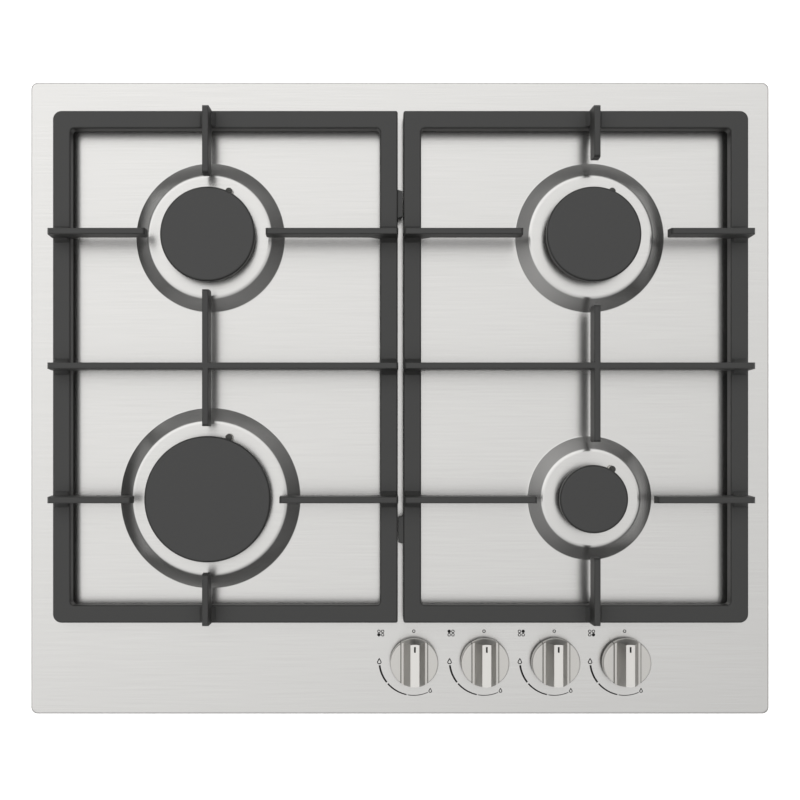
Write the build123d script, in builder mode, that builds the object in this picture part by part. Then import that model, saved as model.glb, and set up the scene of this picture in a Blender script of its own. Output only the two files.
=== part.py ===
from build123d import *
import math
import os
from collections import namedtuple

# A gas cooktop, 60 cm wide, for building into a worktop: a pressed steel top on a sheet steel case,
# four burners of three sizes, two cast iron grates, and four taps with push and turn knobs.
# Millimetres. +X is to the right, +Y to the rear, +Z up. The origin is under the middle of the flat
# underside of the case.

os.makedirs("parts", exist_ok=True)

# ---------------------------------------------------------------- driving dimensions
# fits
running_fit = 0.05
loose_fit = 0.4

# top panel
panel_width = 596.0
panel_depth = 510.0
panel_corner = 5.5
panel_sheet = 0.8
panel_edge_round = 1.6
panel_rim = 5.5
worktop_level = 48.0

# foam seal between the rim and the worktop
seal_width = 7.0
seal_proud = 0.5
seal_inset = 1.2

# domes pressed up round the burners
dome_rise = 7.0
dome_slope_width = 11.3
dome_shoulder_round = 6.0
rapid_dome_radius = 72.6
semi_dome_radius = 60.0
small_dome_radius = 50.0

# burners
burner_off_centre = 13.7
burner_end_distance = 98.2
rapid_cap_radius = 50.0
semi_cap_radius = 37.5
small_cap_radius = 27.0
cap_thickness = 6.0
cap_edge_round = 1.8
cap_overhang = 3.6
cap_spigot_depth = 2.5
cap_spigot_wall = 2.0
cap_top_wall = 4.0
head_height = 11.0
head_lift = 0.3
head_wall = 2.2
head_floor = 2.5
head_floor_height = 5.0
flame_port_width = 1.8
flame_port_depth = 3.0
flame_port_pitch = 7.5
rapid_venturi_radius = 14.0
semi_venturi_radius = 10.0
small_venturi_radius = 6.0
venturi_wall = 1.5
venturi_depth = 22.0
cup_inset = 14.0
cup_wall = 2.5
cup_floor_level = 28.0
cup_floor = 3.0
cup_flange = 3.0
cup_boss_radius = 8.0
air_window_width = 8.0
air_window_height = 10.0
air_window_count = 3
air_window_turn = 30.0
cup_screw_gap = 4.2
cup_screw_count = 2
cup_screw_turn = 160.0
cup_screw_radius = 1.75
cup_screw_head_radius = 2.75
cup_screw_head_height = 2.0
cup_screw_length = 6.0
jet_radius = 3.5
jet_head_radius = 4.5
jet_head_height = 4.0
jet_seat_depth = 2.0
jet_bore_radius = 0.6
jet_way_radius = 3.0

# spark electrodes beside the burner heads
electrode_side_offset = 16.0
electrode_beyond_cap = 1.4
electrode_radius = 2.75
electrode_gap_under_cap = 1.5
electrode_tip_radius = 2.0
electrode_tip_height = 2.5
electrode_collar_radius = 4.4
electrode_collar_height = 5.0
electrode_tail = 6.0
electrode_pin_radius = 1.2
electrode_pin_length = 4.0
electrode_hole_wall = 1.6
tip_slot_width = 0.6
tip_slot_depth = 0.6

# grates, one casting used twice
grate_side_margin = 22.2
grate_rear_margin = 27.6
grate_front_margin = 76.3
grate_gap = 4.6
frame_bar_width = 14.0
frame_bar_height = 11.0
frame_lift = 8.5
frame_outer_corner = 6.8
frame_gap_corner = 1.6
frame_inner_corner = 3.0
frame_edge_round = 1.4
finger_top_height = 39.0
finger_depth = 16.0
finger_top_width = 4.8
finger_base_width = 6.0
finger_edge_round = 0.7
finger_tip_bevel = 1.5
finger_gusset = 8.0
tight_opening_radius = 45.3
tight_opening_side_radius = 47.0
wide_opening_radius = 57.7
spacer_offset = 129.4
spacer_root = 23.4
spacer_tip = 20.0
spacer_reach = 4.0
spacer_height = 8.0
leg_top_radius = 6.0
leg_foot_radius = 5.0
foot_height = 3.0
foot_peg_radius = 2.2
foot_peg_length = 3.5

# knobs
knob_count = 4
knob_pitch = 56.7
first_knob_x = 11.1
knob_front_margin = 43.0
knob_radius = 19.2
knob_gap = 4.6
knob_disc_height = 7.4
knob_disc_round = 0.8
knob_shell = 2.2
knob_boss_radius = 6.5
grip_height = 13.0
grip_top_width = 7.0
grip_flank_width = 17.2
grip_foot_width = 21.2
grip_foot_height = 0.8
grip_end_draft = 2.4
mark_width = 1.0
mark_length = 4.2
mark_depth = 0.25
mark_inset = 1.9
knob_push = 4.0

# taps
tap_radius = 11.0
tap_wall = 3.0
plug_radius = 6.95
plug_height = 17.0
plug_bore_radius = 3.5
plug_bore_depth = 7.5
plug_port_radius = 1.5
plug_bore_above_port = 1.0
key_width = 8.0
key_thickness = 3.0
key_engagement = 4.0
spring_length = 10.0
spring_wire_radius = 0.5
spring_turns = 4
spring_radius = 5.5
collar_radius = 6.3
collar_height = 2.0
spindle_radius = 4.0
spindle_flat = 2.8
spindle_in_knob = 13.5
bonnet_height = 3.0
outlet_boss_radius = 6.5
outlet_boss_reach = 18.0
gas_way_radius = 2.5
tube_socket_depth = 8.0
sleeve_width = 16.0
sleeve_wall = 2.0
grub_radius = 2.0
grub_length = 4.5
switch_width = 20.0
switch_depth = 6.5
switch_height = 6.0

# gas rail, supply tubes and inlet
tube_level = 18.0
tube_radius = 4.0
tube_wall = 1.0
tube_bend = 18.0
rail_behind_knobs = 19.0
rail_level = 34.0
rail_radius = 6.0
rail_wall = 1.5
rail_bend = 30.0
rail_overrun = 15.0
bracket_width = 12.0
bracket_wall = 2.5
notch_width = 46.0
notch_depth = 40.0
inlet_thread_radius = 10.48
inlet_thread_length = 15.0
inlet_floor_gap = 3.0
inlet_body_radius = 12.0
inlet_hex_radius = 13.0
inlet_hex_height = 4.0
elbow_socket_radius = 11.0
inlet_bore_radius = 6.0
inlet_set_back = 18.0

# case
case_side_margin = 22.0
case_end_margin = 18.0
case_sheet = 0.8
case_flange = 8.0
clamp_hole_radius = 2.1
clamp_hole_side_inset = 61.0
clamp_hole_end_inset = 22.0
vent_length = 30.0
vent_width = 4.0
vent_pitch_x = 40.0
vent_pitch_y = 12.0
vent_columns = 4
vent_rows = 5
vent_centre_y = 75.0
tab_width = 16.0
tab_sheet = 1.2
tab_drop = 9.0
tab_reach = 10.0
side_tab_front_y = -60.0
side_tab_rear_y = 120.0
end_tab_x = -60.0
case_screw_radius = 1.6
case_screw_head_radius = 3.0
case_screw_head_height = 1.6
case_screw_length = 6.0

# spark generator, terminal box and wires
generator_x = -133.0
generator_width = 70.0
generator_depth = 40.0
generator_height = 28.0
generator_wall_gap = 8.2
generator_round = 3.0
terminal_x = -120.0
terminal_width = 60.0
terminal_depth = 34.0
terminal_height = 30.0
terminal_wall = 2.0
gland_level = 15.0
gland_radius = 9.0
gland_reach = 6.0
cable_hole_radius = 4.2
spark_lead_radius = 1.5
mains_lead_radius = 2.5
switch_wire_radius = 1.0
wire_lift = 0.1
lead_bend = 8.0
mains_lead_bend = 16.0
lead_outlet_inset = 8.0
lead_outlet_pitch = 16.0
lead_first_run = 24.0
lead_second_run = 24.0
lead_cup_gap = 16.0
lead_side_run = 24.0
lead_front_gap = 40.0
mains_wall_gap = 35.2
mains_outlet_inset = 8.0
wire_drop_reach = 40.0
wire_end_run = 24.0

# ---------------------------------------------------------------- levels and places worked out
grate_width = (panel_width - grate_gap) / 2 - grate_side_margin
grate_depth = panel_depth - grate_rear_margin - grate_front_margin
grate_centre_x = (grate_width + grate_gap) / 2
grate_centre_y = (grate_front_margin - grate_rear_margin) / 2
burner_spread = 2 * (grate_centre_x + burner_off_centre)
burner_pitch = grate_depth - 2 * burner_end_distance
knob_y = knob_front_margin - panel_depth / 2
case_width = panel_width - 2 * case_side_margin
case_depth = panel_depth - 2 * case_end_margin
clamp_spread_x = case_width - 2 * clamp_hole_side_inset
clamp_spread_y = case_depth - 2 * clamp_hole_end_inset
panel_top = worktop_level + seal_proud + panel_rim
panel_under = panel_top - panel_sheet
rim_bottom = panel_top - panel_rim
dome_top = panel_top + dome_rise
dome_under = dome_top - panel_sheet
head_bottom = dome_top + head_lift
head_top = dome_top + head_height
head_seat = dome_top + head_floor_height
cap_top = head_top + cap_thickness
cup_top = head_seat
frame_bottom = panel_top + frame_lift
frame_top = frame_bottom + frame_bar_height
finger_top = panel_top + finger_top_height
finger_bottom = finger_top - finger_depth
knob_bottom = panel_top + knob_gap
disc_top = knob_bottom + knob_disc_height
grip_top = disc_top + grip_height
plug_bottom = tube_level + plug_port_radius + plug_bore_above_port - plug_bore_depth
plug_top = plug_bottom + plug_height
tap_bottom = plug_bottom - tap_wall
collar_bottom = plug_top + spring_length
bonnet_bottom = collar_bottom + collar_height
bonnet_top = bonnet_bottom + bonnet_height
spindle_top = knob_bottom + spindle_in_knob
bore_radius = plug_radius + running_fit
rail_y = knob_y + rail_behind_knobs
knob_xs = [first_knob_x + knob_pitch * step for step in range(knob_count)]

# A burner is named for its place on the panel. The tube of each burner leaves the tap of its own
# knob and meets the cup from the given side, in degrees from +X.
Burner = namedtuple("Burner", "place x y cap dome venturi knob tube_side")
left_x = -burner_spread / 2
right_x = burner_spread / 2
rear_y = grate_centre_y + burner_pitch / 2
front_y = grate_centre_y - burner_pitch / 2
burners = [
    Burner("front_left", left_x, front_y, rapid_cap_radius, rapid_dome_radius,
           rapid_venturi_radius, 0, 0.0),
    Burner("rear_left", left_x, rear_y, semi_cap_radius, semi_dome_radius,
           semi_venturi_radius, 1, 0.0),
    Burner("rear_right", right_x, rear_y, semi_cap_radius, semi_dome_radius,
           semi_venturi_radius, 2, -90.0),
    Burner("front_right", right_x, front_y, small_cap_radius, small_dome_radius,
           small_venturi_radius, 3, -90.0),
]


def head_radius(burner):
    return burner.cap - cap_overhang


def cup_radius(burner):
    return burner.cap - cup_inset


def cup_screw_ring(burner):
    return cup_radius(burner) + cup_screw_gap


def electrode_place(burner):
    """Plan position of the spark electrode: just outside the cap, behind it and to its right."""
    ring = burner.cap + electrode_beyond_cap
    return (
        burner.x + electrode_side_offset,
        burner.y + math.sqrt(ring**2 - electrode_side_offset**2),
    )


def flange_radius(burner):
    ring = burner.cap + electrode_beyond_cap
    return ring + electrode_radius + electrode_hole_wall


def cup_screw_places(burner):
    ring = cup_screw_ring(burner)
    places = []
    for step in range(cup_screw_count):
        turn = math.radians(cup_screw_turn + 360.0 * step / cup_screw_count)
        places.append((burner.x + ring * math.cos(turn), burner.y + ring * math.sin(turn)))
    return places


def upright(radius, bottom, top, x=0.0, y=0.0, mode=Mode.ADD):
    """A cylinder on a vertical axis between two levels, in the part being built."""
    with Locations((x, y, bottom)):
        Cylinder(radius, top - bottom, align=(Align.CENTER, Align.CENTER, Align.MIN), mode=mode)


def lying(radius, length, start, turn, mode=Mode.ADD):
    """A level cylinder from a start point, running the given degrees round from +X."""
    with Locations(Location(start, (0, 0, turn))):
        Cylinder(
            radius,
            length,
            rotation=(0, 90, 0),
            align=(Align.CENTER, Align.CENTER, Align.MIN),
            mode=mode,
        )


def tube(points, bend, outer, inner=0.0):
    """A round tube or wire along straight runs joined by tangent arcs."""
    with BuildPart() as pipe:
        with BuildLine():
            if len(points) == 2:
                route = Line(*points)
            else:
                route = FilletPolyline(*points, radius=bend)
        with BuildSketch(Plane(origin=route @ 0, z_dir=route % 0)):
            Circle(outer)
            if inner:
                Circle(inner, mode=Mode.SUBTRACT)
        sweep()
    expected = math.pi * (outer**2 - inner**2) * route.length
    print(f"tube {route.length:7.1f} mm long, volume {pipe.part.volume / expected:.4f} of expected")
    return pipe.part


# ---------------------------------------------------------------- top panel
def dome_sheet(burner):
    """The sheet of one dome, turned: a slope, a soft shoulder and a flat ring round the cup."""
    flat_radius = burner.dome - dome_slope_width
    mitre = panel_sheet * math.tan(math.atan2(dome_rise, dome_slope_width) / 2)
    inner_radius = cup_radius(burner) + loose_fit
    inner_round = dome_shoulder_round - panel_sheet
    with BuildPart() as dome:
        with BuildSketch(Plane.XZ):
            with BuildLine():
                FilletPolyline(
                    (burner.dome, panel_under),
                    (burner.dome, panel_top),
                    (flat_radius, dome_top),
                    (inner_radius, dome_top),
                    (inner_radius, dome_under),
                    (flat_radius - mitre, dome_under),
                    (burner.dome - mitre, panel_under),
                    radius=[0, 0, dome_shoulder_round, 0, 0, inner_round, 0],
                    close=True,
                )
            make_face()
        revolve(axis=Axis.Z)
    return dome.part


domes = [dome_sheet(burner) for burner in burners]

with BuildPart() as top_panel:
    with BuildSketch(Plane.XY.offset(rim_bottom)):
        RectangleRounded(panel_width, panel_depth, panel_corner)
    extrude(amount=panel_rim)
    fillet(top_panel.faces().sort_by(Axis.Z)[-1].edges(), panel_edge_round)
    with BuildSketch(Plane.XY.offset(rim_bottom)):
        RectangleRounded(
            panel_width - 2 * panel_sheet, panel_depth - 2 * panel_sheet, panel_corner - panel_sheet
        )
    extrude(amount=panel_rim - panel_sheet, mode=Mode.SUBTRACT)
    for burner, dome in zip(burners, domes):
        upright(burner.dome, rim_bottom, panel_top, burner.x, burner.y, Mode.SUBTRACT)
        with Locations((burner.x, burner.y, 0)):
            add(dome)
        electrode_x, electrode_y = electrode_place(burner)
        electrode_hole = electrode_radius + loose_fit
        upright(electrode_hole, panel_under, cap_top, electrode_x, electrode_y, Mode.SUBTRACT)
        for screw_x, screw_y in cup_screw_places(burner):
            screw_hole = cup_screw_radius + loose_fit / 2
            upright(screw_hole, panel_under, cap_top, screw_x, screw_y, Mode.SUBTRACT)
    for knob_x in knob_xs:
        spindle_hole = spindle_radius + 2 * loose_fit
        upright(spindle_hole, rim_bottom, dome_top, knob_x, knob_y, Mode.SUBTRACT)
top_panel.part.label = "top_panel"
export_step(top_panel.part, "parts/top_panel.step")

# ---------------------------------------------------------------- seal under the rim
seal_outer_width = panel_width - 2 * (panel_sheet + seal_inset)
seal_outer_depth = panel_depth - 2 * (panel_sheet + seal_inset)

with BuildPart() as panel_seal:
    with BuildSketch(Plane.XY.offset(worktop_level)):
        RectangleRounded(seal_outer_width, seal_outer_depth, panel_corner - seal_inset)
        Rectangle(
            seal_outer_width - 2 * seal_width, seal_outer_depth - 2 * seal_width, mode=Mode.SUBTRACT
        )
    extrude(amount=panel_under - worktop_level)
panel_seal.part.label = "panel_seal"
export_step(panel_seal.part, "parts/panel_seal.step")

# ---------------------------------------------------------------- case and what fixes it
wall_x = case_width / 2 - case_sheet
wall_y = case_depth / 2 - case_sheet
notch_y = case_depth / 2 - notch_depth
inlet_x = case_width / 2 - notch_width / 2
inlet_y = notch_y + inlet_set_back
tab_level = panel_under - tab_drop / 2

# Welded tabs under the panel stand against the inside of the case walls: a point on the inside of
# the wall, and the way out through it.
tab_places = [
    (wall_x, side_tab_front_y, 0.0),
    (wall_x, side_tab_rear_y, 0.0),
    (end_tab_x, wall_y, 90.0),
    (-wall_x, side_tab_rear_y, 180.0),
    (-wall_x, side_tab_front_y, 180.0),
    (end_tab_x, -wall_y, 270.0),
]


def case_outline(grow=0.0):
    """Plan of the case, with the inlet's notch in its right rear corner, grown outwards."""
    with BuildSketch() as outline:
        Rectangle(case_width, case_depth)
        with Locations((case_width / 2, case_depth / 2)):
            Rectangle(2 * notch_width, 2 * notch_depth, mode=Mode.SUBTRACT)
        if grow:
            offset(amount=grow, kind=Kind.INTERSECTION)
    return outline.sketch


with BuildPart() as bottom_case:
    with BuildSketch():
        add(case_outline())
    extrude(amount=panel_under)
    with BuildSketch(Plane.XY.offset(case_sheet)):
        add(case_outline(-case_sheet))
    extrude(amount=panel_under, mode=Mode.SUBTRACT)
    with BuildSketch(Plane.XY.offset(panel_under - case_sheet)):
        add(case_outline(case_flange))
        add(case_outline(-case_sheet), mode=Mode.SUBTRACT)
    extrude(amount=case_sheet)
    with BuildSketch():
        with GridLocations(clamp_spread_x, clamp_spread_y, 2, 2):
            Circle(clamp_hole_radius)
        with Locations((0, vent_centre_y)):
            with GridLocations(vent_pitch_x, vent_pitch_y, vent_columns, vent_rows):
                SlotOverall(vent_length, vent_width)
    extrude(amount=case_sheet, mode=Mode.SUBTRACT)
    for tab_x, tab_y, turn in tab_places:
        screw_hole = case_screw_radius + loose_fit / 2
        lying(screw_hole, 2 * case_sheet, (tab_x, tab_y, tab_level), turn, Mode.SUBTRACT)
    rail_hole = rail_radius + loose_fit
    rail_hole_start = (inlet_x, notch_y - 2 * case_sheet, rail_level)
    lying(rail_hole, 4 * case_sheet, rail_hole_start, 90.0, Mode.SUBTRACT)
    gland_hole = gland_radius + loose_fit / 2
    gland_hole_start = (terminal_x, wall_y - case_sheet, gland_level)
    lying(gland_hole, 4 * case_sheet, gland_hole_start, 90.0, Mode.SUBTRACT)
bottom_case.part.label = "bottom_case"
export_step(bottom_case.part, "parts/bottom_case.step")

with BuildPart() as fixing_tabs:
    for tab_x, tab_y, turn in tab_places:
        with Locations(Location((tab_x, tab_y, panel_under), (0, 0, turn))):
            Box(tab_sheet, tab_width, tab_drop, align=(Align.MAX, Align.CENTER, Align.MAX))
            Box(tab_reach, tab_width, tab_sheet, align=(Align.MAX, Align.CENTER, Align.MAX))
        screw_hole = case_screw_radius + running_fit
        level_place = (tab_x, tab_y, tab_level)
        lying(screw_hole, 4 * tab_sheet, level_place, turn + 180.0, Mode.SUBTRACT)
fixing_tabs.part.label = "fixing_tabs"
export_step(fixing_tabs.part, "parts/fixing_tabs.step")

with BuildPart() as case_screws:
    for tab_x, tab_y, turn in tab_places:
        with Locations(Location((tab_x, tab_y, tab_level), (0, 0, turn))):
            with Locations((case_sheet, 0, 0)):
                Cylinder(
                    case_screw_head_radius,
                    case_screw_head_height,
                    rotation=(0, 90, 0),
                    align=(Align.CENTER, Align.CENTER, Align.MIN),
                )
                Cylinder(
                    case_screw_radius,
                    case_screw_length,
                    rotation=(0, 90, 0),
                    align=(Align.CENTER, Align.CENTER, Align.MAX),
                )
case_screws.part.label = "case_screws"
export_step(case_screws.part, "parts/case_screws.step")


# ---------------------------------------------------------------- gas rail, brackets and inlet
rail_start_x = first_knob_x - rail_overrun
elbow_start_y = notch_y + 2 * case_sheet
rail_points = [
    (rail_start_x, rail_y, rail_level),
    (inlet_x, rail_y, rail_level),
    (inlet_x, elbow_start_y + tube_socket_depth, rail_level),
]
rail_tube = tube(rail_points, rail_bend, rail_radius, rail_radius - rail_wall)

with BuildPart() as gas_rail:
    add(rail_tube)
    lying(rail_radius, rail_wall, (rail_start_x, rail_y, rail_level), 0.0)
    for knob_x in knob_xs:
        lying(gas_way_radius, rail_radius, (knob_x, rail_y, rail_level), -90.0, Mode.SUBTRACT)
gas_rail.part.label = "gas_rail"
export_step(gas_rail.part, "parts/gas_rail.step")

bracket_xs = [(knob_xs[0] + knob_xs[1]) / 2, (knob_xs[2] + knob_xs[3]) / 2]

with BuildPart() as rail_brackets:
    for bracket_x in bracket_xs:
        ring_radius = rail_radius + running_fit + bracket_wall
        lying(ring_radius, bracket_width, (bracket_x - bracket_width / 2, rail_y, rail_level), 0.0)
        with Locations((bracket_x, rail_y, case_sheet)):
            Box(
                bracket_width,
                2 * bracket_wall,
                rail_level - case_sheet,
                align=(Align.CENTER, Align.CENTER, Align.MIN),
            )
            Box(
                bracket_width,
                2 * ring_radius,
                bracket_wall,
                align=(Align.CENTER, Align.CENTER, Align.MIN),
            )
        rail_seat = rail_radius + running_fit
        seat_start = (bracket_x - bracket_width, rail_y, rail_level)
        lying(rail_seat, 2 * bracket_width, seat_start, 0.0, Mode.SUBTRACT)
rail_brackets.part.label = "rail_brackets"
export_step(rail_brackets.part, "parts/rail_brackets.step")

thread_top = inlet_floor_gap + inlet_thread_length
elbow_length = inlet_y - elbow_start_y
elbow_start = (inlet_x, elbow_start_y, rail_level)

with BuildPart() as inlet_elbow:
    upright(inlet_thread_radius, inlet_floor_gap, thread_top, inlet_x, inlet_y)
    with BuildSketch(Plane.XY.offset(thread_top)):
        with Locations((inlet_x, inlet_y)):
            RegularPolygon(inlet_hex_radius, 6, major_radius=False)
    extrude(amount=inlet_hex_height)
    upright(inlet_body_radius, thread_top, rail_level, inlet_x, inlet_y)
    with Locations((inlet_x, inlet_y, rail_level)):
        Sphere(inlet_body_radius)
    lying(elbow_socket_radius, elbow_length, elbow_start, 90.0)
    upright(inlet_bore_radius, inlet_floor_gap, rail_level, inlet_x, inlet_y, Mode.SUBTRACT)
    lying(rail_radius - rail_wall, elbow_length, elbow_start, 90.0, Mode.SUBTRACT)
    rail_seat = rail_radius + running_fit
    lying(rail_seat, tube_socket_depth, elbow_start, 90.0, Mode.SUBTRACT)
inlet_elbow.part.label = "inlet_elbow"
export_step(inlet_elbow.part, "parts/inlet_elbow.step")


# ---------------------------------------------------------------- taps
outlet_y = knob_y + outlet_boss_reach
sleeve_rear_y = rail_y + rail_radius + sleeve_wall

for burner in burners:
    knob_x = knob_xs[burner.knob]
    place = burner.place

    with BuildPart() as tap_body:
        upright(tap_radius, tap_bottom, bonnet_bottom, knob_x, knob_y)
        with Locations((knob_x, knob_y, rail_level)):
            Box(
                sleeve_width,
                sleeve_rear_y - knob_y,
                2 * (rail_radius + sleeve_wall),
                align=(Align.CENTER, Align.MIN, Align.CENTER),
            )
        lying(outlet_boss_radius, outlet_boss_reach, (knob_x, knob_y, tube_level), 90.0)
        upright(bore_radius, plug_bottom, bonnet_bottom, knob_x, knob_y, Mode.SUBTRACT)
        rail_seat = rail_radius + running_fit
        seat_start = (knob_x - sleeve_width, rail_y, rail_level)
        lying(rail_seat, 2 * sleeve_width, seat_start, 0.0, Mode.SUBTRACT)
        lying(gas_way_radius, outlet_boss_reach, (knob_x, knob_y, tube_level), 90.0, Mode.SUBTRACT)
        tube_seat = tube_radius + running_fit
        socket_mouth = (knob_x, outlet_y, tube_level)
        lying(tube_seat, tube_socket_depth, socket_mouth, -90.0, Mode.SUBTRACT)
        grub_hole = grub_radius + running_fit
        grub_mouth = (knob_x, sleeve_rear_y, rail_level)
        lying(grub_hole, 2 * sleeve_wall, grub_mouth, -90.0, Mode.SUBTRACT)
    tap_body.part.label = f"tap_body_{place}"
    export_step(tap_body.part, f"parts/tap_body_{place}.step")

    with BuildPart() as tap_plug:
        upright(plug_radius, plug_bottom, plug_top, knob_x, knob_y)
        key_foot = plug_top - 2 * key_engagement - loose_fit
        with Locations((knob_x, knob_y, key_foot)):
            Box(
                key_width + 4 * running_fit,
                key_thickness + 4 * running_fit,
                plug_top - key_foot,
                align=(Align.CENTER, Align.CENTER, Align.MIN),
                mode=Mode.SUBTRACT,
            )
        bore_top = plug_bottom + plug_bore_depth
        upright(plug_bore_radius, plug_bottom, bore_top, knob_x, knob_y, Mode.SUBTRACT)
        lying(plug_port_radius, plug_radius, (knob_x, knob_y, tube_level), 0.0, Mode.SUBTRACT)
    tap_plug.part.label = f"tap_plug_{place}"
    export_step(tap_plug.part, f"parts/tap_plug_{place}.step")

    coil_gap = spring_wire_radius + running_fit
    coil_height = spring_length - 2 * coil_gap
    coil_centre = (knob_x, knob_y, plug_top + coil_gap)

    with BuildPart() as tap_spring:
        with BuildLine():
            coil = Helix(
                coil_height / spring_turns, coil_height, spring_radius, center=coil_centre
            )
        with BuildSketch(Plane(origin=coil @ 0, z_dir=coil % 0)):
            Circle(spring_wire_radius)
        sweep(is_frenet=True)
    tap_spring.part.label = f"tap_spring_{place}"
    export_step(tap_spring.part, f"parts/tap_spring_{place}.step")

    with BuildPart() as tap_spindle:
        shaft_foot = plug_top + knob_push + loose_fit
        with Locations((knob_x, knob_y, plug_top - key_engagement)):
            Box(
                key_width,
                key_thickness,
                shaft_foot - plug_top + key_engagement + running_fit,
                align=(Align.CENTER, Align.CENTER, Align.MIN),
            )
        upright(spindle_radius, shaft_foot, spindle_top, knob_x, knob_y)
        upright(collar_radius, collar_bottom, bonnet_bottom, knob_x, knob_y)
        with Locations((knob_x, knob_y + spindle_flat, knob_bottom)):
            Box(
                2 * spindle_radius,
                spindle_radius,
                spindle_top - knob_bottom,
                align=(Align.CENTER, Align.MIN, Align.MIN),
                mode=Mode.SUBTRACT,
            )
    tap_spindle.part.label = f"tap_spindle_{place}"
    export_step(tap_spindle.part, f"parts/tap_spindle_{place}.step")

with BuildPart() as tap_bonnets:
    for knob_x in knob_xs:
        upright(tap_radius, bonnet_bottom, bonnet_top, knob_x, knob_y)
        spindle_bore = spindle_radius + running_fit
        upright(spindle_bore, bonnet_bottom, bonnet_top, knob_x, knob_y, Mode.SUBTRACT)
tap_bonnets.part.label = "tap_bonnets"
export_step(tap_bonnets.part, "parts/tap_bonnets.step")

with BuildPart() as tap_grub_screws:
    for knob_x in knob_xs:
        grub_tip_y = rail_y + rail_radius + running_fit
        lying(grub_radius, grub_length, (knob_x, grub_tip_y, rail_level), 90.0)
tap_grub_screws.part.label = "tap_grub_screws"
export_step(tap_grub_screws.part, "parts/tap_grub_screws.step")

switch_y = knob_y - spindle_radius - 2 * loose_fit - switch_depth / 2

with BuildPart() as ignition_switches:
    for knob_x in knob_xs:
        with Locations((knob_x, switch_y, bonnet_top)):
            Box(
                switch_width,
                switch_depth,
                switch_height,
                align=(Align.CENTER, Align.CENTER, Align.MIN),
            )
ignition_switches.part.label = "ignition_switches"
export_step(ignition_switches.part, "parts/ignition_switches.step")


# ---------------------------------------------------------------- knobs
def knob_grip():
    """The raised blade across a knob: steep flanks on a low flat foot, with ends that lean in."""
    half_length = knob_radius + knob_disc_round
    with BuildPart() as grip:
        with BuildSketch(Plane.XZ):
            Polygon(
                (-grip_foot_width / 2, disc_top - knob_disc_round),
                (grip_foot_width / 2, disc_top - knob_disc_round),
                (grip_foot_width / 2, disc_top + grip_foot_height),
                (grip_flank_width / 2, disc_top + grip_foot_height),
                (grip_top_width / 2, grip_top),
                (-grip_top_width / 2, grip_top),
                (-grip_flank_width / 2, disc_top + grip_foot_height),
                (-grip_foot_width / 2, disc_top + grip_foot_height),
                align=None,
            )
        extrude(amount=half_length, both=True)
        with Locations((0, 0, disc_top - knob_disc_round)):
            Cone(
                knob_radius,
                knob_radius - grip_end_draft,
                grip_height + knob_disc_round,
                align=(Align.CENTER, Align.CENTER, Align.MIN),
                mode=Mode.INTERSECT,
            )
    return grip.part


grip_shape = knob_grip()

for burner in burners:
    knob_x = knob_xs[burner.knob]

    with BuildPart() as knob:
        upright(knob_radius, knob_bottom, disc_top, knob_x, knob_y)
        fillet(knob.faces().sort_by(Axis.Z)[-1].edges(), knob_disc_round)
        with Locations((knob_x, knob_y, 0)):
            add(grip_shape)
        hollow_radius = knob_radius - knob_shell
        hollow_top = disc_top - knob_shell
        upright(hollow_radius, knob_bottom, hollow_top, knob_x, knob_y, Mode.SUBTRACT)
        upright(knob_boss_radius, knob_bottom, hollow_top, knob_x, knob_y)
        upright(
            spindle_radius + running_fit, knob_bottom, spindle_top, knob_x, knob_y, Mode.SUBTRACT
        )
        with Locations((knob_x, knob_y + spindle_flat + running_fit, knob_bottom)):
            Box(
                2 * spindle_radius,
                spindle_radius,
                spindle_top - knob_bottom,
                align=(Align.CENTER, Align.MIN, Align.MIN),
            )
        mark_y = knob_y + knob_radius - grip_end_draft - mark_inset
        with Locations((knob_x, mark_y, grip_top)):
            Box(
                mark_width,
                mark_length,
                2 * mark_depth,
                align=(Align.CENTER, Align.MAX, Align.CENTER),
                mode=Mode.SUBTRACT,
            )
    knob.part.label = f"knob_{burner.place}"
    export_step(knob.part, f"parts/knob_{burner.place}.step")


# ---------------------------------------------------------------- burners
def along(burner, reach, level):
    """A point beside a burner's axis, the given reach out on the side where its tube comes in."""
    turn = math.radians(burner.tube_side)
    return (burner.x + reach * math.cos(turn), burner.y + reach * math.sin(turn), level)


socket_reach = cup_boss_radius + tube_socket_depth

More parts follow.
